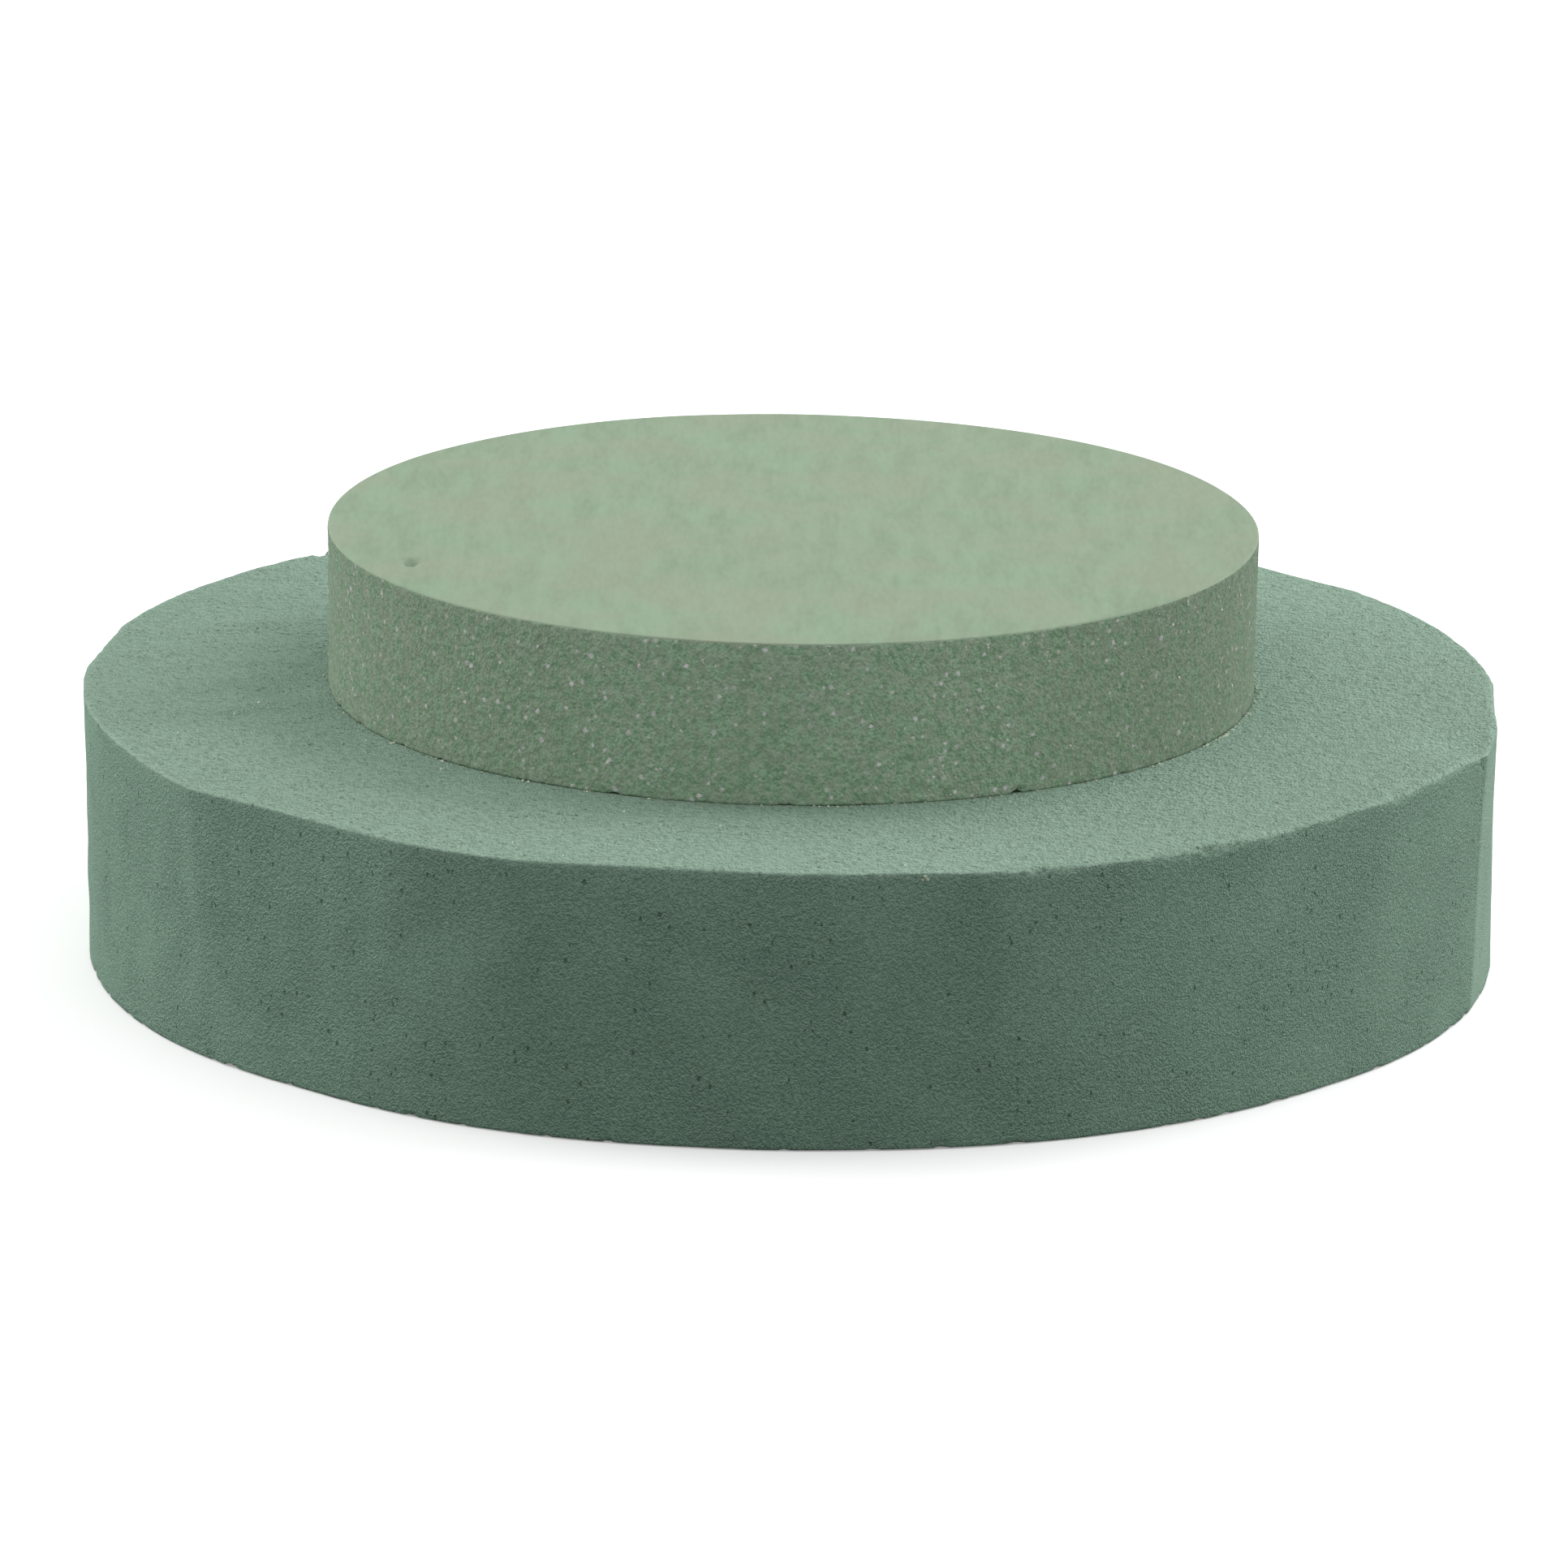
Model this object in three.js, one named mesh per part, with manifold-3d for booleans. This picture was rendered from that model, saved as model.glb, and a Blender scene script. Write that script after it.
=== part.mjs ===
// Two rounds of floral foam: a small one resting loose on a large one.
// Millimetres, +Z up. The origin is on the surface that the large round stands on,
// under the centre of its footprint. The front is towards -Y.

import * as THREE from 'three';
import { mergeVertices } from 'three/addons/utils/BufferGeometryUtils.js';
import Module from 'manifold-3d';

// Driving dimensions
const LOWER_TOP_RADIUS = 150.8;
const LOWER_FOOT_RADIUS = 149.4;
const LOWER_HEIGHT = 58.5;
const UPPER_TOP_RADIUS = 99;
const UPPER_FOOT_RADIUS = 98.7;
const UPPER_HEIGHT = 34.3;
const UPPER_SET_BACK = 2.7; // the small round sits a little behind the middle of the large one
const SEAT_GAP = 0.3; // clearance between the two rounds
const ROUND_SEGMENTS = 144;

// Knife-cut flats on the side of the large round. Each one stands at an azimuth in degrees,
// counted from +X towards +Y, at a distance from the axis at its top and at its foot.
const FLATS = [
  { azimuth: -98, top: 146.3, foot: 148.2 },
  { azimuth: -86, top: 147.2, foot: 148.4 },
  { azimuth: -132, top: 148.6, foot: 147.6 },
  { azimuth: -42, top: 149.6, foot: 148.2 },
  { azimuth: -2, top: 149.8, foot: 149.2 },
  { azimuth: 44, top: 148.8, foot: 147.6 },
  { azimuth: 100, top: 149, foot: 147.6 },
  { azimuth: 170, top: 149.8, foot: 148.3 },
];
const CUTTER_SIZE = 200; // side of the square block that cuts a flat

const wasm = await Module();
wasm.setup();

// A closed mesh as a solid that can be cut.
function toSolid(geometry) {
  const bare = geometry.clone();
  bare.deleteAttribute('normal');
  bare.deleteAttribute('uv');
  const merged = mergeVertices(bare, 1e-4);
  return new wasm.Manifold(new wasm.Mesh({
    numProp: 3,
    vertProperties: new Float32Array(merged.attributes.position.array),
    triVerts: new Uint32Array(merged.index.array),
  }));
}

function toGeometry(solid) {
  const mesh = solid.getMesh();
  const geometry = new THREE.BufferGeometry();
  geometry.setAttribute('position', new THREE.BufferAttribute(mesh.vertProperties, 3));
  geometry.setIndex(new THREE.BufferAttribute(mesh.triVerts, 1));
  geometry.computeVertexNormals();
  return geometry;
}

// A round block standing on Z = 0, with its axis on Z.
function roundBlock(footRadius, topRadius, height) {
  const profile = [
    new THREE.Vector2(0, 0),
    new THREE.Vector2(footRadius, 0),
    new THREE.Vector2(topRadius, height),
    new THREE.Vector2(0, height),
  ];
  const geometry = new THREE.LatheGeometry(profile, ROUND_SEGMENTS);
  return geometry.rotateX(Math.PI / 2);
}

// The block that cuts one flat: its inner face passes through the flat's top and foot lines.
function flatCutter({ azimuth, top, foot }) {
  const lean = Math.atan2(top - foot, LOWER_HEIGHT);
  const geometry = new THREE.BoxGeometry(CUTTER_SIZE, CUTTER_SIZE, CUTTER_SIZE);
  return geometry
    .translate(CUTTER_SIZE / 2, 0, 0)
    .rotateY(lean)
    .translate((top + foot) / 2, 0, LOWER_HEIGHT / 2)
    .rotateZ(THREE.MathUtils.degToRad(azimuth));
}

function lowerDiscGeometry() {
  let solid = toSolid(roundBlock(LOWER_FOOT_RADIUS, LOWER_TOP_RADIUS, LOWER_HEIGHT));
  for (const flat of FLATS) {
    solid = solid.subtract(toSolid(flatCutter(flat)));
  }
  return toGeometry(solid);
}

function foamDisc(name, geometry, colour) {
  const material = new THREE.MeshStandardMaterial({ color: colour, roughness: 0.95, metalness: 0 });
  const mesh = new THREE.Mesh(geometry, material);
  mesh.name = name;
  return mesh;
}

const lowerDisc = foamDisc('lower_foam_disc', lowerDiscGeometry(), 0x879e8e);

const upperGeometry = roundBlock(UPPER_FOOT_RADIUS, UPPER_TOP_RADIUS, UPPER_HEIGHT);
const upperDisc = foamDisc('upper_foam_disc', upperGeometry, 0x9caf98);
upperDisc.position.set(0, UPPER_SET_BACK, LOWER_HEIGHT + SEAT_GAP);

// The flats leave the footprint a little off the lathe axis, so the pair is moved to centre it.
const group = new THREE.Group();
group.add(lowerDisc, upperDisc);
const footprint = new THREE.Box3().setFromObject(lowerDisc).getCenter(new THREE.Vector3());
group.position.set(-footprint.x, -footprint.y, 0);

export default group;
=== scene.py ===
import math

import bpy
import numpy as np
from mathutils import Matrix, Vector, noise
from mathutils.bvhtree import BVHTree


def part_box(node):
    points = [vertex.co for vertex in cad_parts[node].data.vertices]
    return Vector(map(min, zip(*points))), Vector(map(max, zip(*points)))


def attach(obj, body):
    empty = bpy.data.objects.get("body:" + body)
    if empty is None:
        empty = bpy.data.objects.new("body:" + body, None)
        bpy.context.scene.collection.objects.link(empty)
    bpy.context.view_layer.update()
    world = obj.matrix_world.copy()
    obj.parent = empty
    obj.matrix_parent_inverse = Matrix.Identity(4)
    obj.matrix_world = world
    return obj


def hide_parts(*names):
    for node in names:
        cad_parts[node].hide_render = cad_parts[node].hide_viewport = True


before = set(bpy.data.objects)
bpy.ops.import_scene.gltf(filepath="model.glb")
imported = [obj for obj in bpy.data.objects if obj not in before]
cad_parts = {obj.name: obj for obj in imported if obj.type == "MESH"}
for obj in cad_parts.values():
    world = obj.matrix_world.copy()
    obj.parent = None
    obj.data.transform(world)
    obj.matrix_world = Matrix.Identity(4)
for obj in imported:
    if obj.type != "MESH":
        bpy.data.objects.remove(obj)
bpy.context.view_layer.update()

MM = 0.001
SEED = 11

LOWER = "lower_foam_disc"
UPPER = "upper_foam_disc"
LOWER_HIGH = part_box(LOWER)[1]
UPPER_LOW, UPPER_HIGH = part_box(UPPER)
UPPER_CENTRE = (UPPER_LOW + UPPER_HIGH) / 2
UPPER_RADIUS = (UPPER_HIGH.x - UPPER_LOW.x) / 2
SETTLING = 0.26 * MM  # how far the upper block's foot settles into the CAD's seat gap

# Proud corners of the lower block: azimuth, degrees of fall before and after it, and how far the corner
# stands out at the top and at the foot.
PROUD_CORNERS = [
    (-144.5, 13, 4, 2.0 * MM, 0),
    (-16.2, 13, 12, 1.7 * MM, 0.5 * MM),
    (-3, 10, 20, 0, 1.0 * MM),
]
SLUMP_AT = (145 * MM, -40 * MM)  # where the lower block's rim has slumped, in plan
SLUMP_REACH = 10 * MM
SLUMP_DEPTH = 2.0 * MM
SCORE_AT = -16.6  # azimuth of the cut line beside the slump
# Torn stretches of the lower block's rim: start, end and fade in degrees, and how badly torn.
TORN_STRETCHES = [(-73, -69, 2, 1.0), (-57, -54, 2, 0.6), (-35, -31, 2, 0.6), (-68, -42, 3, 0.35)]
# Pits in the lower block's side: azimuth, height over the foot, radius and depth in mm.
SIDE_PITS = [(-17.3, 55.5, 1.5, 1.1), (-169.5, 0.5, 1.6, 0.6), (-171, 57, 1.6, 0.5), (134, 58, 2.4, 1.4)]
TOP_PIT = np.array([-100.1, 22.1, 58.5]) * MM  # the pit in the lower block's top
UPPER_DENT = np.array([-80, -34.1, 93.1]) * MM  # the dent in the upper block's top
SEAT_NICK = (-61.2, 0.3)  # azimuth and height over the foot of the nick under the upper block
RIM_CLUMP = (-79.4, 58.1)  # azimuth and height over the foot of the crumbs stuck under the lower rim
CLUMP_CRUMBS = [(0.0, 0.3, 0.55), (0.5, 0.8, 0.4), (-0.4, 0.9, 0.32)]  # side step, drop and size in mm
SEAT_CRUMBS_RIGHT, SEAT_CRUMBS_ROUND, STRAY_CRUMBS, SIDE_GRAINS = 90, 200, 110, 300  # how many of each
CRUMB_LUMPINESS = 0.35


# ---------------------------------------------------------------- camera, floor and lights

CAMERA_DISTANCE = 3.0
CAMERA_ELEVATION = 15.38  # degrees above the horizon
CAMERA_ROLL = 0.77  # degrees, anticlockwise
CAMERA_LENS = 322.4
CAMERA_SENSOR = 36.0
CAMERA_TARGET = Vector((-1.0, 0.0, 36.5)) * MM
FLOOR_HALF = 12.0
FLOOR_DROP = 0.2 * MM
FLOOR_GLOW = 0.25  # the floor's own light, seen only by the camera
AMBIENT_STRENGTH = 0.56  # the world's light on the object
BACKDROP_STRENGTH = 0.75  # the world as the camera sees it
# Name, azimuth and elevation in degrees, distance, width and height in metres, and power in watts.
SOFTBOXES = [
    ("key", 32, 49, 2.3, 1.5, 1.2, 16),
    ("overhead", 0, 90, 2.4, 3.0, 3.0, 15),
    ("front_fill", -90, 50, 2.4, 1.6, 1.2, 4),
    ("left_back_edge", 153, 20, 2.2, 1.4, 0.9, 21),
    ("left_low_edge", 168, 5, 2.2, 1.2, 0.5, 17),
    ("right_front_edge", 6, 6, 2.2, 0.8, 0.5, 19),
    ("right_back_edge", 45, 15, 2.2, 1.0, 0.8, 12),
]


def make_camera():
    data = bpy.data.cameras.new("studio_camera")
    data.lens = CAMERA_LENS
    data.sensor_width = CAMERA_SENSOR
    data.clip_end = 100
    camera = bpy.data.objects.new("studio_camera", data)
    bpy.context.scene.collection.objects.link(camera)
    tilt = Matrix.Rotation(math.radians(90 - CAMERA_ELEVATION), 4, "X")
    roll = Matrix.Rotation(math.radians(CAMERA_ROLL), 4, "Z")
    turned = tilt @ roll
    back = turned.to_3x3() @ Vector((0, 0, 1))
    camera.matrix_world = Matrix.Translation(CAMERA_TARGET + back * CAMERA_DISTANCE) @ turned
    bpy.context.scene.camera = camera


def softbox(name, azimuth, elevation, distance, width, height, power):
    """A soft area light at an azimuth and elevation in degrees, turned towards the object."""
    data = bpy.data.lights.new(name, "AREA")
    data.shape = "RECTANGLE"
    data.size = width
    data.size_y = height
    data.energy = power
    light = bpy.data.objects.new(name, data)
    bpy.context.scene.collection.objects.link(light)
    turn, rise = math.radians(azimuth), math.radians(elevation)
    away = Vector((math.cos(turn) * math.cos(rise), math.sin(turn) * math.cos(rise), math.sin(rise)))
    light.location = away * distance + Vector((0, 0, LOWER_HIGH.z))
    light.rotation_euler = (-away).to_track_quat("-Z", "Y").to_euler()


def make_lights():
    for row in SOFTBOXES:
        softbox(*row)


def make_world():
    """Even light from all round, with a backdrop of its own for the camera."""
    world = bpy.data.worlds.new("studio_world")
    bpy.context.scene.world = world
    world.use_nodes = True
    nodes, links = world.node_tree.nodes, world.node_tree.links
    ambient = nodes["Background"]
    ambient.inputs["Color"].default_value = (1, 1, 1, 1)
    ambient.inputs["Strength"].default_value = AMBIENT_STRENGTH
    backdrop = nodes.new("ShaderNodeBackground")
    backdrop.inputs["Color"].default_value = (1, 1, 1, 1)
    backdrop.inputs["Strength"].default_value = BACKDROP_STRENGTH
    path = nodes.new("ShaderNodeLightPath")
    mix = nodes.new("ShaderNodeMixShader")
    links.new(path.outputs["Is Camera Ray"], mix.inputs["Fac"])
    links.new(ambient.outputs["Background"], mix.inputs[1])
    links.new(backdrop.outputs["Background"], mix.inputs[2])
    links.new(mix.outputs["Shader"], nodes["World Output"].inputs["Surface"])


def make_floor():
    """A pale floor that glows a little for the camera and sends less light back up at the object."""
    corners = [(-FLOOR_HALF, -FLOOR_HALF), (FLOOR_HALF, -FLOOR_HALF),
               (FLOOR_HALF, FLOOR_HALF), (-FLOOR_HALF, FLOOR_HALF)]
    mesh = bpy.data.meshes.new("studio_floor")
    mesh.from_pydata([(x, y, -FLOOR_DROP) for x, y in corners], [], [(0, 1, 2, 3)])
    floor = bpy.data.objects.new("studio_floor", mesh)
    bpy.context.scene.collection.objects.link(floor)
    material = bpy.data.materials.new("pale_floor")
    material.use_nodes = True
    nodes, links = material.node_tree.nodes, material.node_tree.links
    nodes.clear()
    lit = nodes.new("ShaderNodeBsdfDiffuse")
    lit.inputs["Color"].default_value = (0.92, 0.92, 0.92, 1)
    glow = nodes.new("ShaderNodeEmission")
    glow.inputs["Strength"].default_value = FLOOR_GLOW
    seen = nodes.new("ShaderNodeAddShader")
    bounced = nodes.new("ShaderNodeBsdfDiffuse")
    bounced.inputs["Color"].default_value = (0.3, 0.3, 0.3, 1)
    path = nodes.new("ShaderNodeLightPath")
    mix = nodes.new("ShaderNodeMixShader")
    output = nodes.new("ShaderNodeOutputMaterial")
    links.new(path.outputs["Is Camera Ray"], mix.inputs["Fac"])
    links.new(bounced.outputs["BSDF"], mix.inputs[1])
    links.new(lit.outputs["BSDF"], seen.inputs[0])
    links.new(glow.outputs["Emission"], seen.inputs[1])
    links.new(seen.outputs["Shader"], mix.inputs[2])
    links.new(mix.outputs["Shader"], output.inputs["Surface"])
    mesh.materials.append(material)


# ---------------------------------------------------------------- foam block meshes

def concentric_grid(cells):
    """A square grid wrapped onto a unit disc: reach (0 to 1) and azimuth of each of its points."""
    line = np.linspace(-1, 1, cells + 1)
    a, b = np.meshgrid(line, line, indexing="ij")
    sideways = np.abs(a) >= np.abs(b)
    major = np.where(sideways, a, b)
    minor = np.where(sideways, b, a)
    safe = np.where(major == 0, 1, major)
    swing = math.pi / 4 * minor / safe
    azimuth = np.where(sideways, swing, math.pi / 2 - swing)
    azimuth = np.where(major < 0, azimuth + math.pi, azimuth)
    return np.abs(major), azimuth


def grid_edge(cells):
    """Indices into the flattened grid of its outer points, anticlockwise from the corner at -45 degrees."""
    n = cells
    steps = np.arange(n)
    low, high = np.zeros(n, int), np.full(n, n)
    walk = [(high, steps), (n - steps, high), (low, n - steps), (steps, low)]
    return np.concatenate([i * (n + 1) + j for i, j in walk])


def grid_quads(cells):
    """The squares of the grid, facing up."""
    i, j = np.meshgrid(np.arange(cells), np.arange(cells), indexing="ij")
    corner = (i * (cells + 1) + j).ravel()
    return np.stack([corner, corner + cells + 1, corner + cells + 2, corner + 1], 1)


def wall_distances(node, centre, azimuths, height, smooth):
    """How far the CAD node's wall stands from its axis at one height, with its corners softened."""
    tree = BVHTree.FromObject(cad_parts[node], bpy.context.evaluated_depsgraph_get())
    start = Vector((centre.x, centre.y, height))
    found = [tree.ray_cast(start, Vector((math.cos(a), math.sin(a), 0)))[3] for a in azimuths]
    found = np.array(found)
    reach = np.arange(-3 * smooth, 3 * smooth + 1)
    weights = np.exp(-0.5 * (reach / smooth) ** 2)
    around = [w * np.roll(found, k) for k, w in zip(reach, weights)]
    return np.sum(around, axis=0) / weights.sum()


def proud_corner(azimuths, at, before, after, height):
    """A corner standing proud of the outline, falling away straight on both sides (angles in degrees)."""
    away = (np.degrees(azimuths) - at + 180) % 360 - 180
    return np.interp(away, [-before, 0, after], [0, height, 0], left=0, right=0)


class FoamBlock:
    """A round foam block as a closed, dense mesh whose outline is its CAD node's.

    place holds the points, out their outward directions, reach the distance to the nearest rim,
    face is 1 on the top, 0 on the side and -1 underneath. cells is the grid's count of squares across the
    top, and rows the count of rings down the side."""

    RIM_CROWDING = 1.25  # above 1, the top's points lie closer together near the rim
    FOOT_SHARE = 0.7  # below 1, the side takes the foot's outline soon below the rim
    FOOT_INSET = 1.2 * MM  # how far inside the foot's edge its coarser grid begins

    def __init__(self, node, cells, rows, corners=(), foot_smooth=1):
        low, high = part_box(node)
        self.centre = (low + high) / 2
        self.low, self.high = low.z, high.z
        around = 4 * cells
        azimuths = -math.pi / 4 + np.arange(around) * 2 * math.pi / around
        inset = 0.05 * MM
        top_wall = wall_distances(node, self.centre, azimuths, high.z - inset, smooth=1)
        foot_wall = wall_distances(node, self.centre, azimuths, low.z + inset, smooth=foot_smooth)
        for at, before, after, top_height, foot_height in corners:
            top_wall = top_wall + proud_corner(azimuths, at, before, after, top_height)
            foot_wall = foot_wall + proud_corner(azimuths, at, before, after, foot_height)

        share, turn = concentric_grid(cells)
        share, turn = share.ravel(), turn.ravel()
        crowded = 1 - (1 - share) ** self.RIM_CROWDING
        wall = np.interp(turn, azimuths, top_wall, period=2 * math.pi)
        radius = wall * crowded
        blocks = [(radius, turn, np.full(len(turn), high.z), wall - radius, np.ones(len(turn)))]
        quads = [grid_quads(cells)]
        rim = grid_edge(cells)
        above = rim
        count = len(turn)

        middle = np.arange(1, rows) / rows
        drops = middle - 0.5 * np.sin(2 * math.pi * middle) / (2 * math.pi)
        height = high.z - low.z
        for drop in np.append(drops, 1.0):
            towards_foot = drop ** self.FOOT_SHARE
            ring = top_wall * (1 - towards_foot) + foot_wall * towards_foot
            edge = min(drop, 1 - drop) * height
            level = np.full(around, high.z - drop * height)
            blocks.append((ring, azimuths, level, np.full(around, edge), np.zeros(around)))
            below = count + np.arange(around)
            quads.append(np.stack([below, np.roll(below, -1), np.roll(above, -1), above], 1))
            above, count = below, count + around

        coarse = cells // 2
        share, turn = concentric_grid(coarse)
        share, turn = share.ravel(), turn.ravel()
        wall = np.interp(turn, azimuths, foot_wall, period=2 * math.pi)
        radius = (wall - self.FOOT_INSET) * share
        blocks.append((radius, turn, np.full(len(turn), low.z), wall - radius, -np.ones(len(turn))))
        quads.append(grid_quads(coarse)[:, ::-1] + count)
        inner = grid_edge(coarse) + count
        outer, middle_of = above[0::2], above[1::2]
        ahead, inner_ahead = np.roll(outer, -1), np.roll(inner, -1)
        self.triangles = np.concatenate([
            np.stack([outer, inner, middle_of], 1),
            np.stack([middle_of, inner, inner_ahead], 1),
            np.stack([middle_of, inner_ahead, ahead], 1)])

        radius, turn, level, reach, face = (np.concatenate(part) for part in zip(*blocks))
        self.quads = np.concatenate(quads)
        self.turn, self.reach, self.face = turn, reach, face
        outward = np.stack([np.cos(turn), np.sin(turn), np.zeros(len(turn))], 1)
        self.outward = outward
        self.place = outward * radius[:, None]
        self.place[:, 0] += self.centre.x
        self.place[:, 1] += self.centre.y
        self.place[:, 2] = level
        upward = np.zeros_like(outward)
        upward[:, 2] = np.where(level > (self.low + self.high) / 2, 1, -1)
        self.upward = upward
        on_rim = (reach < 1e-7)[:, None]
        flat = np.where((face == 0)[:, None], outward, upward)
        self.out = np.where(on_rim, (outward + upward) / math.sqrt(2), flat)
        self.corner = (outward + upward) / math.sqrt(2)

    def push(self, amount):
        """Moves each point outward by amount."""
        self.place += self.out * amount[:, None]

    def cut_corner(self, amount):
        """Moves points near a rim towards the inside of the corner."""
        self.place -= self.corner * amount[:, None]

    def mesh(self, name, attributes):
        """The block as an object of the scene, with one number per point for each named attribute."""
        mesh = bpy.data.meshes.new(name)
        faces = [tuple(q) for q in self.quads.tolist()] + [tuple(t) for t in self.triangles.tolist()]
        mesh.from_pydata(self.place.tolist(), [], faces)
        for key, values in attributes.items():
            layer = mesh.attributes.new(key, "FLOAT", "POINT")
            layer.data.foreach_set("value", values.astype(np.float32))
        mesh.shade_smooth()
        mesh.validate()
        piece = bpy.data.objects.new(name, mesh)
        bpy.context.scene.collection.objects.link(piece)
        return piece


def rumple(points, size, octaves=3, offset=0.0):
    """Fractal noise at each point, about -1 to 1, with features of the given size."""
    shift = Vector((offset, offset * 0.7, offset * 1.3))
    return np.array([noise.fractal(Vector(p) / size + shift, 1.0, 2.0, octaves) for p in points])


def bump_between(azimuths, start, end, fade):
    """1 between two azimuths in degrees, fading to 0 over fade degrees outside them."""
    middle, half = (start + end) / 2, (end - start) / 2
    away = np.abs((azimuths - middle + 180) % 360 - 180) - half
    return np.clip(1 - away / fade, 0, 1)


def round_rim(block, near, radius):
    """Rounds the rim at the points marked near to the given radius at each point."""
    share = np.clip(1 - block.reach / np.maximum(radius, 1e-9), 0, 1)
    block.cut_corner(near * (math.sqrt(2) - 1) * radius * share ** 1.7)


def dig(block, points, radii, depths, squash=1.0):
    """Presses a bowl-shaped pit into the surface round each point."""
    for point, radius, depth in zip(points, radii, depths):
        away = (block.place - np.array(point)) / np.array([1, squash, 1])
        share = np.clip(1 - (away ** 2).sum(1) / radius ** 2, 0, 1)
        block.place -= block.out * (depth * share)[:, None]


def wall_point(block, degrees, height):
    """A point on the block's side at an azimuth in degrees and a height over its foot in mm."""
    turn = math.radians(degrees)
    side = np.abs(block.place[:, 2] - (block.low + height * MM)) + 1e3 * (block.face != 0)
    off = np.abs((block.turn - turn + math.pi) % (2 * math.pi) - math.pi)
    return block.place[np.argmin(side + 0.3 * off)].copy()


def rise_between(values, low, high):
    """Runs straight from 0 at low to 1 at high."""
    return np.clip((values - low) / (high - low), 0, 1)


def wave_lower_surface(block, start, side):
    """Soft waves and lumps in the lower block's cut faces, deepest at the left and none under the seat."""
    from_upper = np.hypot(start[:, 0] - UPPER_CENTRE.x, start[:, 1] - UPPER_CENTRE.y) - UPPER_RADIUS
    clear = rise_between(from_upper, 0, 9 * MM) * (block.face > 0) + side
    leftward = np.clip(0.5 - start[:, 0] / (160 * MM), 0, 1)
    inland = rise_between(block.reach, 0, 22 * MM)
    broad = np.where(side > 0, 0.13, 0.22) * MM
    wavy = (0.12 + 0.7 * leftward * inland) * MM
    block.push(clear * rumple(start, 55 * MM, 2, 3.1) * broad)
    block.push(clear * rumple(start * [0.6, 1.5, 1], 19 * MM, 2, 6.4) * wavy)
    block.push((block.face >= 0) * rumple(start, 6 * MM, 3, 8.2) * 0.05 * MM)
    away_squared = (start[:, 0] - SLUMP_AT[0]) ** 2 + (start[:, 1] - SLUMP_AT[1]) ** 2
    slumped = np.exp(-away_squared / SLUMP_REACH ** 2) * rise_between(start[:, 2], 38 * MM, 58 * MM)
    block.place[:, 2] -= SLUMP_DEPTH * slumped


def wear_lower_rims(block, start, degrees, upper_half):
    """Rounds both rims of the lower block, then rubs, tears and chips them."""
    shoulder = bump_between(degrees, -30, 10, 10)
    top_radius = (0.4 + 0.6 * shoulder + 0.25 * rumple(start, 25 * MM, 2, 1.7)) * MM
    round_rim(block, upper_half, np.maximum(top_radius, 0.2 * MM))
    round_rim(block, 1 - upper_half, np.full(len(degrees), 0.35 * MM))

    near_rim = np.clip(1 - block.reach / (2.0 * MM), 0, 1)
    sawn_rough = 0.25 + 0.75 * bump_between(degrees, -92, -14, 8)
    wear = np.clip(rumple(start, 3.2 * MM, 3, 5.5) + 0.12, 0, 1) * 0.9 * MM
    block.cut_corner(upper_half * wear * sawn_rough * near_rim)
    torn = sum(share * bump_between(degrees, a, b, fade) for a, b, fade, share in TORN_STRETCHES)
    tears = np.clip(rumple(start, 2.4 * MM, 2, 9.5) + 0.25, 0, 1) * 2.4 * MM
    block.cut_corner(upper_half * tears * torn * near_rim)
    foot_chips = np.clip(rumple(start, 3.5 * MM, 3, 15.5) - 0.35, 0, 1) * 2.0 * MM
    block.cut_corner((1 - upper_half) * foot_chips * near_rim)


def dig_small_pits(block, rng, allowed, count, radii, depths):
    """Random pits at the allowed points, with radii and depths between the limits given in mm."""
    picks = rng.choice(np.flatnonzero(allowed), count, replace=False)
    dig(block, block.place[picks], rng.uniform(*radii, count) * MM, rng.uniform(*depths, count) * MM)


def painted_light_strip_mask(degrees, side):
    """Where painted light makes the lower block's side pale: beside the right corner and at the far left."""
    strips = bump_between(degrees, -15.2, -4, 1.0) + 0.8 * bump_between(degrees, -188, -178, 14)
    fading = bump_between(degrees, -8, -4, 34) * (degrees > -12)
    return np.maximum(strips, fading) * side


def lower_block():
    """The large round: its CAD outline with proud corners, waves, rubbed, torn and chipped rims, a score and
    pits.
    """
    block = FoamBlock(LOWER, cells=200, rows=52, corners=PROUD_CORNERS, foot_smooth=9)
    degrees = np.degrees(block.turn)
    upper_half = (block.upward[:, 2] > 0).astype(float)
    side = (block.face == 0).astype(float)
    rng = np.random.default_rng(SEED)
    start = block.place.copy()
    wave_lower_surface(block, start, side)
    wear_lower_rims(block, start, degrees, upper_half)

    score = np.exp(-(((degrees - SCORE_AT) / 0.3) ** 2)) * side * (start[:, 2] > 25 * MM)
    block.place -= block.outward * (score * 0.4 * MM)[:, None]

    pits = [(wall_point(block, azimuth, height), wide, deep) for azimuth, height, wide, deep in SIDE_PITS]
    pits.append((TOP_PIT, 1.3, 1.5))
    for point, wide, deep in pits:
        dig(block, [point], [wide * MM], [deep * MM])
    dig_small_pits(block, rng, (block.face >= 0) & (block.reach > 4 * MM), 120, (1.2, 1.7), (0.1, 0.35))

    rim = np.clip(1 - block.reach / (3.5 * MM), 0, 1)
    attributes = {
        "rim": rim * upper_half,
        "cut_face": np.abs(block.face),
        "painted_light_strips": painted_light_strip_mask(degrees, side),
    }
    return block, block.mesh("lower_round", attributes)


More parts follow.
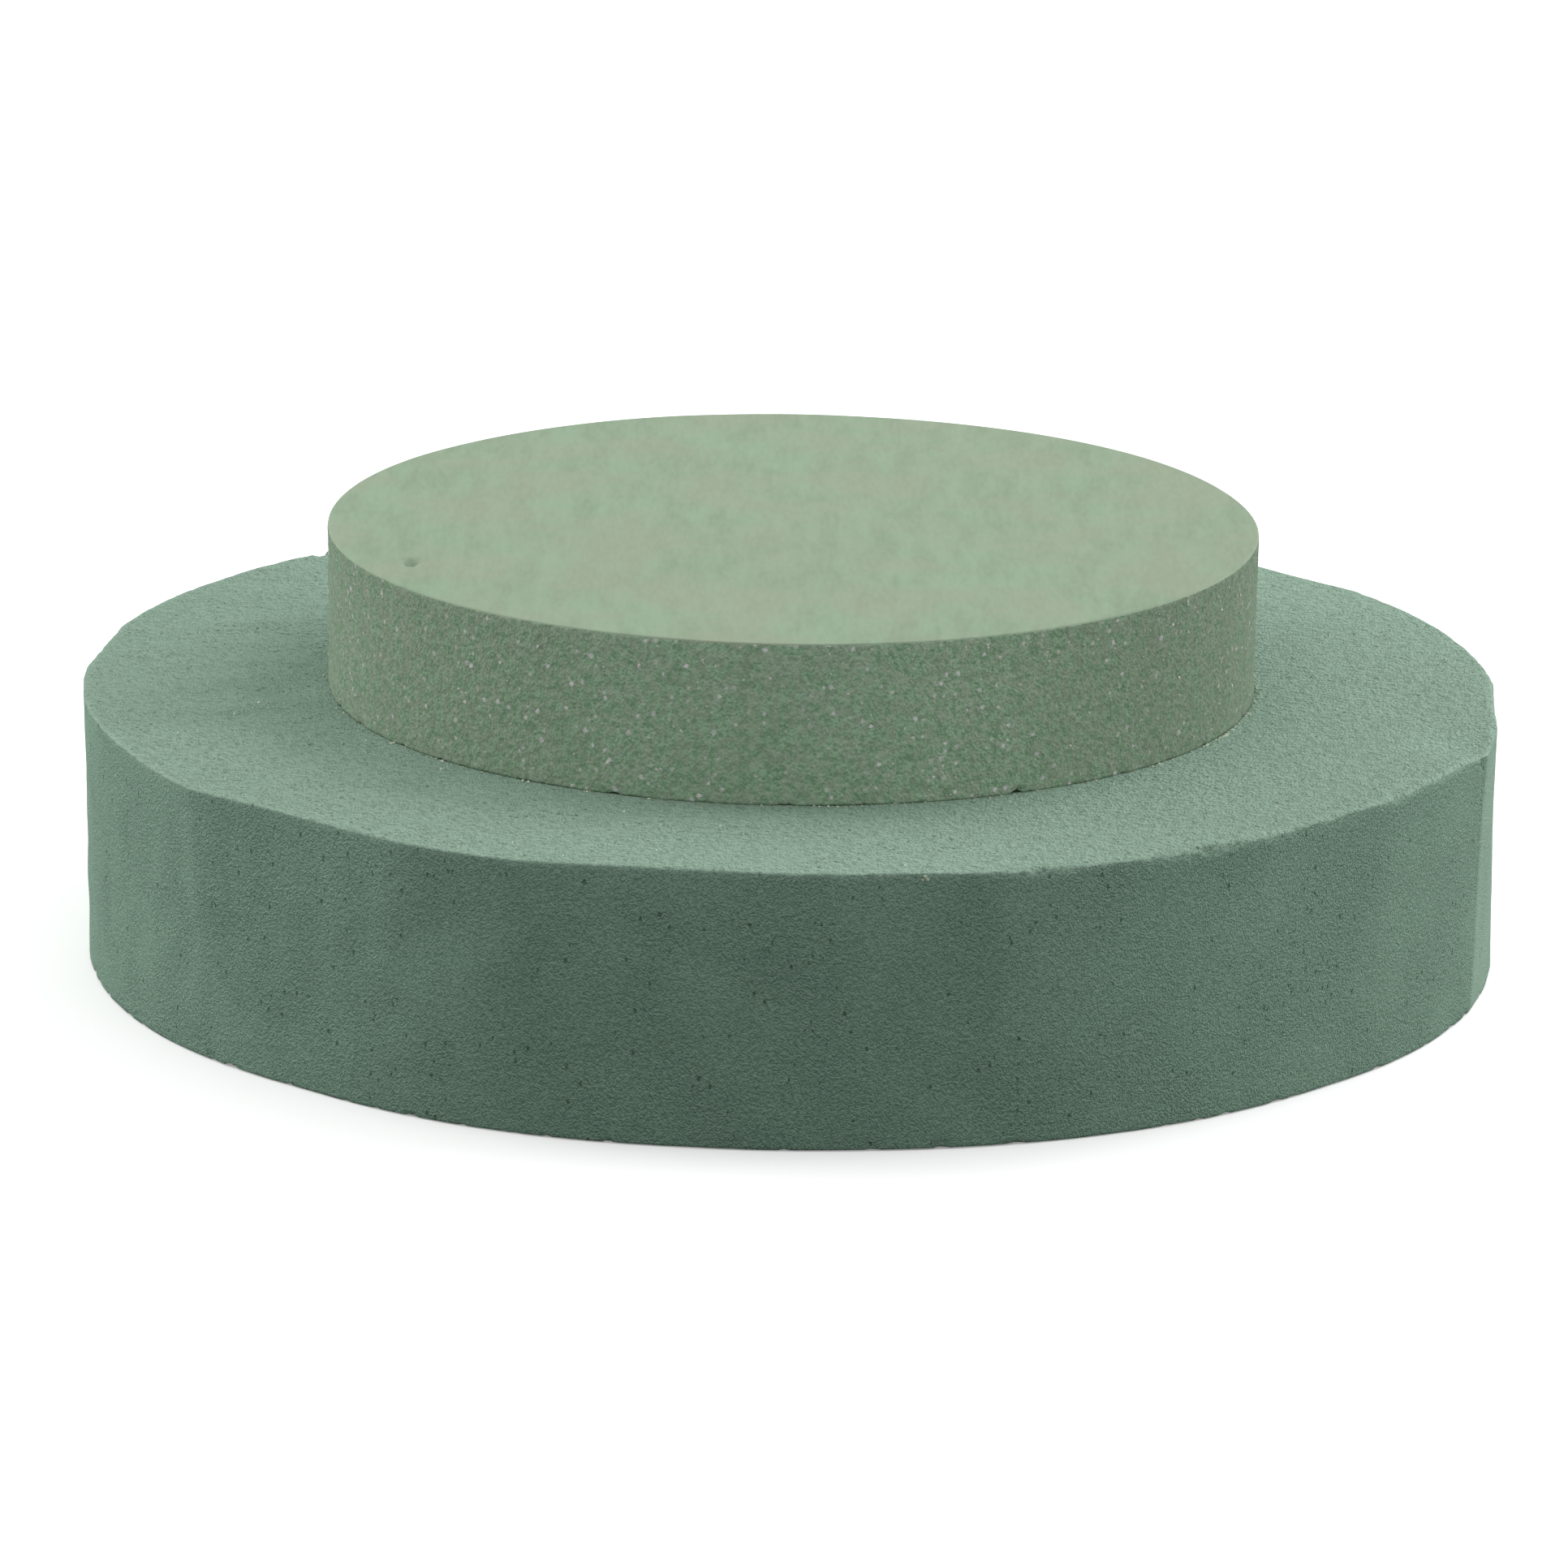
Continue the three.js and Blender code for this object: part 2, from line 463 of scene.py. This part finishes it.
def upper_block():
    """The small round: its CAD outline with a settled foot, crisp rims, one dent on top and fine pits."""
    block = FoamBlock(UPPER, cells=160, rows=36)
    upper_half = (block.upward[:, 2] > 0).astype(float)
    rng = np.random.default_rng(SEED + 1)

    start = block.place.copy()
    block.push((block.face >= 0) * rumple(start, 45 * MM, 2, 23.1) * 0.15 * MM)
    block.push((block.face == 0) * rumple(start, 2.2 * MM, 2, 28.2) * 0.10 * MM)
    low = (1 - upper_half) * np.clip(1 - block.reach / (6 * MM), 0, 1)
    block.place[:, 2] -= np.where(block.face < 0, 1, low) * SETTLING

    round_rim(block, upper_half, np.full(len(start), 0.35 * MM))
    chips = np.clip(rumple(start, 2.4 * MM, 3, 31.5) - 0.25, 0, 1) * 1.0 * MM
    near_rim = np.clip(1 - block.reach / (1.4 * MM), 0, 1)
    block.cut_corner(chips * near_rim * (1 - 0.97 * upper_half))

    dig(block, [UPPER_DENT], [1.7 * MM], [2.0 * MM], squash=2.2)
    dig(block, [wall_point(block, *SEAT_NICK)], [1.2 * MM], [0.8 * MM])
    dig_small_pits(block, rng, (block.face == 0) & (block.reach > 2.5 * MM), 60, (0.9, 1.5), (0.15, 0.4))
    return block, block.mesh("upper_round", {"cut_face": np.abs(block.face)})


# ---------------------------------------------------------------- shader helpers and shared groups

class Wiring:
    """Short ways to add and join nodes in one node tree."""

    def __init__(self, tree):
        self.tree = tree

    def add(self, kind, inputs=None, **settings):
        made = self.tree.nodes.new(kind)
        for key, value in settings.items():
            setattr(made, key, value)
        for key, value in (inputs or {}).items():
            self.feed(made.inputs[key], value)
        return made

    def feed(self, socket, value):
        if isinstance(value, bpy.types.NodeSocket):
            self.tree.links.new(value, socket)
        else:
            socket.default_value = value

    def math(self, operation, a, b=0.0, c=0.0, clamp=False):
        made = self.add("ShaderNodeMath", operation=operation, use_clamp=clamp)
        for socket, value in zip(made.inputs, (a, b, c)):
            self.feed(socket, value)
        return made.outputs[0]

    def vector(self, operation, a, b):
        made = self.add("ShaderNodeVectorMath", operation=operation)
        self.feed(made.inputs[0], a)
        self.feed(made.inputs[1], b)
        return made.outputs[0]

    def ramp(self, value, low, high, out_low=0.0, out_high=1.0, smooth=True):
        made = self.add("ShaderNodeMapRange", clamp=True)
        made.interpolation_type = "SMOOTHSTEP" if smooth else "LINEAR"
        for key, item in (("Value", value), ("From Min", low), ("From Max", high),
                          ("To Min", out_low), ("To Max", out_high)):
            self.feed(made.inputs[key], item)
        return made.outputs["Result"]

    def noise(self, vector, size, detail=2.0, roughness=0.5, output="Fac"):
        inputs = {"Vector": vector, "Detail": detail, "Roughness": roughness}
        made = self.add("ShaderNodeTexNoise", inputs)
        self.feed(made.inputs["Scale"], size)
        return made.outputs[output]

    def mix_value(self, amount, first, second):
        made = self.add("ShaderNodeMix", data_type="FLOAT")
        for socket, value in zip((made.inputs[0], made.inputs[2], made.inputs[3]), (amount, first, second)):
            self.feed(socket, value)
        return made.outputs[0]

    def mix(self, amount, first, second, blend="MIX"):
        made = self.add("ShaderNodeMix", data_type="RGBA", blend_type=blend)
        self.feed(made.inputs[0], amount)
        self.feed(made.inputs[6], first)
        self.feed(made.inputs[7], second)
        return made.outputs[2]


def new_group(name, inputs, outputs):
    """An empty shader group with named sockets: its wiring, what it is given and what it hands out."""
    tree = bpy.data.node_groups.new(name, "ShaderNodeTree")
    for key, kind, value in inputs:
        socket = tree.interface.new_socket(key, in_out="INPUT", socket_type=kind)
        if value is not None:
            socket.default_value = value
    for key, kind in outputs:
        tree.interface.new_socket(key, in_out="OUTPUT", socket_type=kind)
    wiring = Wiring(tree)
    entry = wiring.add("NodeGroupInput")
    leave = wiring.add("NodeGroupOutput")
    return wiring, entry.outputs, leave.inputs


FLOAT, VECTOR = "NodeSocketFloat", "NodeSocketVector"


def cell_grain_group():
    """The foam's cut cells: Coarse values round 0.5, one Height of cells and clumps together, and a light
    value for painted shade and highlight, above 0 on the slopes that face the offset Lit From."""
    w, given, out = new_group(
        "cell_grain",
        [("Vector", VECTOR, None), ("Cell Scale", FLOAT, 1500.0), ("Clump Scale", FLOAT, 400.0),
         ("Clumping", FLOAT, 0.5), ("Lit From", VECTOR, (0.0, 0.0, 0.0))],
        [("Coarse", FLOAT), ("Height", FLOAT), ("Painted Relief Light", FLOAT)])
    fine = w.noise(given["Vector"], given["Cell Scale"], 2.0, 0.6)
    coarse = w.noise(given["Vector"], given["Clump Scale"], 3.0, 0.55)
    w.feed(out["Coarse"], coarse)
    w.feed(out["Height"], w.mix_value(given["Clumping"], fine, coarse))
    # Painted light: how the height falls towards Lit From, which the materials paint into the colour as
    # shade and highlight.
    beside = w.vector("ADD", given["Vector"], given["Lit From"])
    fine_step = w.math("SUBTRACT", fine, w.noise(beside, given["Cell Scale"], 2.0, 0.6))
    coarse_step = w.math("SUBTRACT", coarse, w.noise(beside, given["Clump Scale"], 3.0, 0.55))
    w.feed(out["Painted Relief Light"], w.mix_value(given["Clumping"], fine_step, coarse_step))
    return w.tree


def scattered_dots_group():
    """Separate round dots, such as open pores or bright cells: Mask is 1 inside a dot, and Tone differs
    from dot to dot. Wobble makes them less round."""
    w, given, out = new_group(
        "scattered_dots",
        [("Vector", VECTOR, None), ("Scale", FLOAT, 200.0), ("Share", FLOAT, 0.3),
         ("Size", FLOAT, 0.25), ("Softness", FLOAT, 0.1), ("Wobble", FLOAT, 0.0)],
        [("Mask", FLOAT), ("Tone", FLOAT)])
    swing = w.noise(given["Vector"], w.math("MULTIPLY", given["Scale"], 5.0), 1.0, output="Color")
    swing = w.vector("MULTIPLY", w.vector("SUBTRACT", swing, (0.5, 0.5, 0.5)), given["Wobble"])
    where = w.vector("ADD", given["Vector"], swing)
    turn = {"Vector": where, "Axis": (0.6, 0.5, 0.62), "Angle": 0.8}
    turned = w.add("ShaderNodeVectorRotate", turn).outputs[0]
    cells = w.add("ShaderNodeTexVoronoi", {"Vector": turned, "Scale": given["Scale"], "Randomness": 1.0})
    parts = w.add("ShaderNodeSeparateColor", {"Color": cells.outputs["Color"]})
    chosen = w.math("LESS_THAN", parts.outputs["Red"], given["Share"])
    vary = w.ramp(parts.outputs["Green"], 0.0, 1.0, 0.45, 1.0, smooth=False)
    radius = w.math("MULTIPLY", given["Size"], vary)
    inner = w.math("SUBTRACT", radius, given["Softness"])
    inside = w.ramp(cells.outputs["Distance"], inner, radius, 1.0, 0.0)
    w.feed(out["Mask"], w.math("MULTIPLY", inside, chosen))
    w.feed(out["Tone"], parts.outputs["Blue"])
    return w.tree


def soft_clouds_group():
    """Broad, faint variation in tone across a cut face: Tone runs from 0 to 1."""
    w, given, out = new_group(
        "soft_clouds",
        [("Vector", VECTOR, None), ("Stretch", VECTOR, (1.0, 1.0, 1.0)),
         ("Scale", FLOAT, 20.0), ("Contrast", FLOAT, 0.2)],
        [("Tone", FLOAT)])
    vector = w.vector("MULTIPLY", given["Vector"], given["Stretch"])
    value = w.noise(vector, given["Scale"], 3.0, 0.5)
    low = w.math("SUBTRACT", 0.5, given["Contrast"])
    high = w.math("ADD", 0.5, given["Contrast"])
    w.feed(out["Tone"], w.ramp(value, low, high))
    return w.tree


GROUPS = {}


def place_group(w, name, inputs):
    """Adds one of the shared groups with these inputs, and hands back its outputs."""
    made = w.add("ShaderNodeGroup")
    made.node_tree = GROUPS[name]
    for key, value in inputs.items():
        w.feed(made.inputs[key], value)
    return made.outputs


def shade(r, g, b):
    """A colour given as 0 to 255 screen values, as linear light."""
    linear = [c / 3294.6 if c <= 10 else ((c / 255 + 0.055) / 1.055) ** 2.4 for c in (r, g, b)]
    return (*linear, 1.0)


FOAM_ROUGHNESS = 0.95
FOAM_SPECULAR = 0.15


def new_material(name):
    """A dull foam material: the material, its wiring, its surface node and its object coordinates."""
    material = bpy.data.materials.new(name)
    material.use_nodes = True
    w = Wiring(material.node_tree)
    surface = material.node_tree.nodes["Principled BSDF"]
    surface.inputs["Roughness"].default_value = FOAM_ROUGHNESS
    surface.inputs["Specular IOR Level"].default_value = FOAM_SPECULAR
    place = w.add("ShaderNodeTexCoord").outputs["Object"]
    return material, w, surface, place


def attribute(w, name):
    return w.add("ShaderNodeAttribute", attribute_name=name).outputs["Fac"]


def paint_relief_light(w, tone, light, dark_share, dark, bright_share, bright):
    """Paints shade and highlight into a tone: darkens it where light is under a half and brightens it where
    light is over a half.
    """
    tone = w.mix(w.ramp(light, 0.5, 0.0, 0.0, dark_share, smooth=False), tone, dark)
    return w.mix(w.ramp(light, 0.5, 1.0, 0.0, bright_share, smooth=False), tone, bright)


def set_bump(w, surface, height, depth):
    """Gives the surface a bump of this depth from the height values."""
    bump = w.add("ShaderNodeBump", {"Strength": 1.0, "Distance": depth, "Height": height})
    w.feed(surface.inputs["Normal"], bump.outputs["Normal"])


def lower_foam():
    """Dark blue-green foam: fine sawn grain on the side, a pocked, wavy cut on the top."""
    material, w, surface, place = new_material("dark_green_foam")
    cut = w.ramp(attribute(w, "cut_face"), 0.3, 0.7)
    rim = attribute(w, "rim")
    tall = w.vector("MULTIPLY", place, (1.0, 1.0, 0.6))
    drawn = w.vector("MULTIPLY", place, (1.0, 0.8, 1.0))

    side = place_group(w, "cell_grain", {
        "Vector": place, "Cell Scale": 2800.0, "Clump Scale": 1200.0, "Clumping": 0.4,
        "Lit From": (0.0, 0.0, 0.2 * MM)})
    top = place_group(w, "cell_grain", {
        "Vector": drawn, "Cell Scale": 2200.0, "Clump Scale": 760.0, "Clumping": 0.5,
        "Lit From": (0.25 * MM, 0.3 * MM, 0.0)})
    rough = place_group(w, "soft_clouds", {"Vector": place, "Scale": 42.0, "Contrast": 0.14})
    strength = w.ramp(rough["Tone"], 0.0, 1.0, 0.85, 1.2)
    pore_share = w.ramp(rough["Tone"], 0.45, 1.0, 0.12, 0.6)
    pores = place_group(w, "scattered_dots", {
        "Vector": tall, "Scale": 640.0, "Share": pore_share, "Size": 0.27, "Softness": 0.1,
        "Wobble": 0.6 * MM})
    dents = place_group(w, "scattered_dots", {
        "Vector": drawn, "Scale": 640.0, "Share": 0.28, "Size": 0.34, "Softness": 0.16, "Wobble": 0.6 * MM})
    sparks = place_group(w, "scattered_dots", {
        "Vector": place, "Scale": 190.0, "Share": 0.05, "Size": 0.08, "Softness": 0.04})
    clouds = place_group(w, "soft_clouds", {"Vector": place, "Scale": 16.0, "Contrast": 0.22})
    bands = place_group(w, "soft_clouds", {
        "Vector": place, "Stretch": (1.0, 1.0, 0.12), "Scale": 38.0, "Contrast": 0.25})

    side_tone = w.mix(w.ramp(side["Height"], 0.36, 0.64), shade(98, 129, 111), shade(132, 160, 142))
    # Painted shade and highlight on the side's grain, as if lit from above.
    side_painted_light = w.ramp(w.math("MULTIPLY", side["Painted Relief Light"], strength), -0.10, 0.10, smooth=False)
    side_tone = paint_relief_light(w, side_tone, side_painted_light, 0.34, shade(66, 92, 76), 0.24, shade(176, 202, 186))
    top_tone = w.mix(w.ramp(top["Height"], 0.36, 0.62), shade(121, 146, 130), shade(145, 170, 153))
    # Painted shade and highlight on the top's grain, as if lit from the right and behind.
    top_painted_light = w.ramp(top["Painted Relief Light"], -0.12, 0.12, smooth=False)
    top_tone = paint_relief_light(w, top_tone, top_painted_light, 0.42, shade(84, 106, 92), 0.2, shade(180, 204, 188))
    # Painted shade in the dents.
    top_tone = w.mix(w.math("MULTIPLY", dents["Mask"], 0.35), top_tone, shade(88, 110, 96))
    colour = w.mix(cut, side_tone, top_tone)
    colour = w.mix(w.math("MULTIPLY", clouds["Tone"], 0.05), colour, shade(146, 169, 153))
    banding = w.math("MULTIPLY", w.math("SUBTRACT", 1.0, cut), bands["Tone"])
    colour = w.mix(w.math("MULTIPLY", banding, 0.05), colour, shade(92, 119, 102))
    # Painted shade in the pores.
    colour = w.mix(w.math("MULTIPLY", pores["Mask"], 0.6), colour, shade(54, 78, 64))
    colour = w.mix(w.math("MULTIPLY", sparks["Mask"], 0.8), colour, shade(215, 228, 216))
    # Painted shadow of the upper block on the lower block's top, darkening it to the upper block's left.
    plan = w.add("ShaderNodeSeparateXYZ", {"Vector": place}).outputs
    painted_shadow_back_edge = w.ramp(w.math("ADD", plan["Y"], w.ramp(clouds["Tone"], 0.0, 1.0, -0.01, 0.01)), -0.055, -0.025)
    painted_shadow_left_of_upper = w.math("MULTIPLY", w.math("MULTIPLY", painted_shadow_back_edge, cut), w.ramp(plan["X"], -0.08, -0.115))
    colour = w.mix(w.math("MULTIPLY", painted_shadow_left_of_upper, 0.22), colour, shade(104, 127, 112))
    # Painted light: pale strips on the lower block's side, beside the right corner and at the far left.
    colour = w.mix(w.math("MULTIPLY", attribute(w, "painted_light_strips"), 0.32), colour, shade(172, 198, 181))
    # The top rim is lightened: partly wear, partly a painted highlight along the rim.
    rim_wear_and_highlight = w.ramp(w.math("MULTIPLY", rim, w.math("ADD", side["Coarse"], 0.35)), 0.35, 0.85)
    colour = w.mix(w.math("MULTIPLY", rim_wear_and_highlight, 0.25), colour, shade(148, 171, 155))
    w.feed(surface.inputs["Base Color"], colour)
    w.feed(surface.inputs["Roughness"], w.ramp(side["Coarse"], 0.3, 0.7, 0.9, 1.0))

    side_height = w.math("MULTIPLY", w.math("SUBTRACT", side["Height"], 0.5), strength)
    top_height = w.math("SUBTRACT", top["Height"], 0.5)
    top_height = w.math("SUBTRACT", top_height, w.math("MULTIPLY", dents["Mask"], 0.35))
    height = w.mix_value(cut, side_height, top_height)
    height = w.math("SUBTRACT", height, w.math("MULTIPLY", pores["Mask"], 0.5))
    set_bump(w, surface, height, 0.9 * MM)
    return material


def upper_foam():
    """Lighter yellow-green foam: smooth, faintly streaked on top, coarse and speckled on the side."""
    material, w, surface, place = new_material("light_green_foam")
    cut = w.ramp(attribute(w, "cut_face"), 0.3, 0.7)

    side = place_group(w, "cell_grain", {
        "Vector": place, "Cell Scale": 1700.0, "Clump Scale": 760.0, "Clumping": 0.55,
        "Lit From": (0.0, 0.0, 0.3 * MM)})
    blush = place_group(w, "soft_clouds", {"Vector": place, "Scale": 430.0, "Contrast": 0.12})
    olive = place_group(w, "soft_clouds", {
        "Vector": place, "Stretch": (1.0, 1.0, 0.2), "Scale": 180.0, "Contrast": 0.2})
    streaks = place_group(w, "soft_clouds", {
        "Vector": place, "Stretch": (1.0, 0.2, 1.0), "Scale": 240.0, "Contrast": 0.2})
    threads = place_group(w, "soft_clouds", {
        "Vector": place, "Stretch": (1.0, 0.2, 1.0), "Scale": 900.0, "Contrast": 0.2})
    patches = place_group(w, "soft_clouds", {"Vector": place, "Scale": 42.0, "Contrast": 0.14})
    bright = place_group(w, "scattered_dots", {
        "Vector": place, "Scale": 900.0, "Share": 0.3, "Size": 0.34, "Softness": 0.2, "Wobble": 0.4 * MM})
    large = place_group(w, "scattered_dots", {
        "Vector": place, "Scale": 560.0, "Share": 0.58, "Size": 0.42, "Softness": 0.2, "Wobble": 0.8 * MM})

    side_tone = w.mix(w.ramp(side["Height"], 0.36, 0.64), shade(119, 152, 122), shade(161, 189, 162))
    # Painted shade and highlight on the side's grain, as if lit from above.
    side_painted_light = w.ramp(side["Painted Relief Light"], -0.12, 0.12, smooth=False)
    side_tone = paint_relief_light(w, side_tone, side_painted_light, 0.16, shade(92, 118, 94), 0.16, shade(190, 206, 188))
    side_tone = w.mix(w.math("MULTIPLY", blush["Tone"], 0.28), side_tone, shade(177, 171, 164))
    side_tone = w.mix(w.math("MULTIPLY", olive["Tone"], 0.18), side_tone, shade(134, 154, 122))
    side_tone = w.mix(w.math("MULTIPLY", bright["Mask"], 0.36), side_tone, shade(208, 208, 204))
    blobs = w.math("MULTIPLY", large["Mask"], w.ramp(large["Tone"], 0.0, 1.0, 0.12, 0.95))
    side_tone = w.mix(blobs, side_tone, shade(222, 217, 219))
    # Painted shade: the side's colour is darkened towards both ends in x, at left and right.
    across = w.add("ShaderNodeSeparateXYZ", {"Vector": place}).outputs["X"]
    painted_end_shade_tone = w.mix(1.0, side_tone, (0.56, 0.555, 0.55, 1.0), "MULTIPLY")
    side_tone = w.mix(w.ramp(across, 0.01, 0.095), side_tone, painted_end_shade_tone)
    side_tone = w.mix(w.ramp(across, -0.01, -0.095, 0.0, 0.85), side_tone, painted_end_shade_tone)

    top_tone = w.mix(streaks["Tone"], shade(131, 150, 127), shade(138, 161, 136))
    top_tone = w.mix(w.math("MULTIPLY", patches["Tone"], 0.55), top_tone, shade(147, 154, 134))
    top_tone = w.mix(w.math("MULTIPLY", threads["Tone"], 0.28), top_tone, shade(152, 168, 147))
    colour = w.mix(cut, side_tone, top_tone)
    w.feed(surface.inputs["Base Color"], colour)
    w.feed(surface.inputs["Roughness"], w.ramp(side["Coarse"], 0.3, 0.7, 0.88, 1.0))

    side_height = w.math("MULTIPLY", w.math("SUBTRACT", side["Height"], 0.5), 0.6)
    side_height = w.math("ADD", side_height, w.math("MULTIPLY", bright["Mask"], 0.12))
    top_height = w.math("MULTIPLY", w.math("SUBTRACT", side["Height"], 0.5), 0.1)
    set_bump(w, surface, w.mix_value(cut, side_height, top_height), 0.8 * MM)
    return material


def loose_crumb(name, dull, bright):
    """Torn bits of foam, each a little lighter or darker than the next."""
    material, w, surface, place = new_material(name)
    vary = w.noise(place, 260.0, 1.0)
    grain = place_group(w, "cell_grain", {
        "Vector": place, "Cell Scale": 3000.0, "Clump Scale": 1200.0, "Clumping": 0.5})
    tone = w.math("ADD", w.ramp(vary, 0.38, 0.62, 0.0, 0.8), w.ramp(grain["Height"], 0.35, 0.65, -0.1, 0.2))
    w.feed(surface.inputs["Base Color"], w.mix(w.math("MAXIMUM", tone, 0.0), dull, bright))
    set_bump(w, surface, grain["Height"], 0.1 * MM)
    return material


# ---------------------------------------------------------------- crumbs, placed by geometry nodes

def crumb_tree():
    """A lumpy crumb on every point of the host, as large as the point's own size attribute."""
    tree = bpy.data.node_groups.new("crumbs_on_points", "GeometryNodeTree")
    for key, kind, value in (("Geometry", "NodeSocketGeometry", None), ("Lumpiness", FLOAT, CRUMB_LUMPINESS),
                             ("Seed", "NodeSocketInt", 0), ("Material", "NodeSocketMaterial", None)):
        socket = tree.interface.new_socket(key, in_out="INPUT", socket_type=kind)
        if value is not None:
            socket.default_value = value
    tree.interface.new_socket("Geometry", in_out="OUTPUT", socket_type="NodeSocketGeometry")
    w = Wiring(tree)
    given = w.add("NodeGroupInput").outputs
    ball = w.add("GeometryNodeMeshIcoSphere", {"Radius": 1.0, "Subdivisions": 1})
    lumps = w.noise(w.add("GeometryNodeInputPosition").outputs[0], 1.3, 1.0, output="Color")
    lumps = w.vector("MULTIPLY", w.vector("SUBTRACT", lumps, (0.5, 0.5, 0.5)), given["Lumpiness"])
    lumps = w.vector("MULTIPLY", lumps, (4.0, 4.0, 4.0))
    lumpy = w.add("GeometryNodeSetPosition", {"Geometry": ball.outputs["Mesh"], "Offset": lumps})
    turns = w.add("FunctionNodeRandomValue", data_type="FLOAT_VECTOR")
    w.feed(turns.inputs[1], (2 * math.pi,) * 3)
    w.feed(turns.inputs["Seed"], given["Seed"])
    size = w.add("GeometryNodeInputNamedAttribute", {"Name": "size"}, data_type="FLOAT")
    placed = w.add("GeometryNodeInstanceOnPoints", {
        "Points": given["Geometry"], "Instance": lumpy.outputs["Geometry"],
        "Rotation": turns.outputs[0], "Scale": size.outputs["Attribute"]})
    real = w.add("GeometryNodeRealizeInstances", {"Geometry": placed.outputs["Instances"]})
    dressed = w.add("GeometryNodeSetMaterial", {
        "Geometry": real.outputs["Geometry"], "Material": given["Material"]})
    leave = w.add("NodeGroupOutput")
    w.feed(leave.inputs["Geometry"], dressed.outputs["Geometry"])
    return tree


def crumbs_piece(name, points, sizes, material, seed):
    """One plain mesh of crumbs at the given points."""
    host_mesh = bpy.data.meshes.new(name + "_points")
    host_mesh.from_pydata([tuple(p) for p in points], [], [])
    layer = host_mesh.attributes.new("size", "FLOAT", "POINT")
    layer.data.foreach_set("value", np.array(sizes, np.float32))
    host = bpy.data.objects.new(name + "_points", host_mesh)
    bpy.context.scene.collection.objects.link(host)
    modifier = host.modifiers.new("crumbs", "NODES")
    modifier.node_group = GROUPS["crumbs_on_points"]
    items = modifier.node_group.interface.items_tree
    sockets = {item.name: item.identifier for item in items if item.in_out == "INPUT"}
    modifier[sockets["Lumpiness"]] = CRUMB_LUMPINESS
    modifier[sockets["Seed"]] = seed
    modifier[sockets["Material"]] = material
    seen = host.evaluated_get(bpy.context.evaluated_depsgraph_get())
    mesh = bpy.data.meshes.new_from_object(seen)
    mesh.name = name
    bpy.data.objects.remove(host)
    bpy.data.meshes.remove(host_mesh)
    piece = bpy.data.objects.new(name, mesh)
    bpy.context.scene.collection.objects.link(piece)
    return piece


def surface_height(block, x, y):
    """Height of the block's top surface at a place in plan."""
    top = block.place[block.face > 0]
    return top[np.argmin((top[:, 0] - x) ** 2 + (top[:, 1] - y) ** 2), 2]


def lower_crumbs(block, material):
    """Crumbs rubbed off along the seat, most of them at the right, and a few stray ones."""
    rng = np.random.default_rng(SEED + 2)
    at_right = rng.uniform(-28, 20, SEAT_CRUMBS_RIGHT)
    seat = np.concatenate([at_right, rng.uniform(-180, 180, SEAT_CRUMBS_ROUND)])
    out = UPPER_RADIUS + rng.uniform(0.1, 0.9, len(seat)) ** 2 * MM
    turn = np.radians(seat)
    x = UPPER_CENTRE.x + out * np.cos(turn)
    y = UPPER_CENTRE.y + out * np.sin(turn)
    sizes = rng.uniform(0.10, 0.30, len(seat)) * MM
    stray_turn = np.radians(rng.uniform(-180, 180, STRAY_CRUMBS))
    stray_out = rng.uniform(101, 146, STRAY_CRUMBS) * MM
    x = np.append(x, stray_out * np.cos(stray_turn))
    y = np.append(y, stray_out * np.sin(stray_turn))
    sizes = np.append(sizes, rng.uniform(0.12, 0.3, STRAY_CRUMBS) * MM)
    points = [(a, b, surface_height(block, a, b) + 0.3 * c) for a, b, c in zip(x, y, sizes)]
    clump = wall_point(block, *RIM_CLUMP) / MM
    for side_step, drop, size in CLUMP_CRUMBS:
        points.append(((clump[0] + side_step) * MM, (clump[1] - 0.15) * MM, (clump[2] - drop) * MM))
        sizes = np.append(sizes, size * MM)
    return crumbs_piece("lower_crumbs", points, sizes, material, seed=4)


def upper_grains(block, material):
    """Pale grains set in the upper block's side."""
    rng = np.random.default_rng(SEED + 3)
    allowed = (block.face == 0) & (block.reach > 1 * MM)
    picks = rng.choice(np.flatnonzero(allowed), SIDE_GRAINS, replace=False)
    sizes = (0.26 + 0.3 * rng.random(SIDE_GRAINS) ** 2) * MM
    points = block.place[picks] - block.outward[picks] * (sizes * 0.45)[:, None]
    points[:, 2] += rng.uniform(-0.6, 0.6, SIDE_GRAINS) * MM
    return crumbs_piece("upper_grains", points, sizes, material, seed=9)


# ---------------------------------------------------------------- assembly

make_camera()
make_world()
make_floor()
make_lights()
GROUPS["cell_grain"] = cell_grain_group()
GROUPS["scattered_dots"] = scattered_dots_group()
GROUPS["soft_clouds"] = soft_clouds_group()

lower_shape, lower_round = lower_block()
upper_shape, upper_round = upper_block()
GROUPS["crumbs_on_points"] = crumb_tree()
lower_round.data.materials.append(lower_foam())
upper_round.data.materials.append(upper_foam())
crumb_finish = loose_crumb("crumbs_of_foam", shade(150, 168, 146), shade(226, 230, 208))
grain_finish = loose_crumb("pale_grains", shade(152, 164, 150), shade(206, 200, 198))
crumbs = lower_crumbs(lower_shape, crumb_finish)
grains = upper_grains(upper_shape, grain_finish)

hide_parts(LOWER)
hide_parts(UPPER)
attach(lower_round, "lower_disc")
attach(upper_round, "upper_disc")
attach(crumbs, "lower_disc")
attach(grains, "upper_disc")

bpy.context.scene.view_settings.view_transform = "Standard"
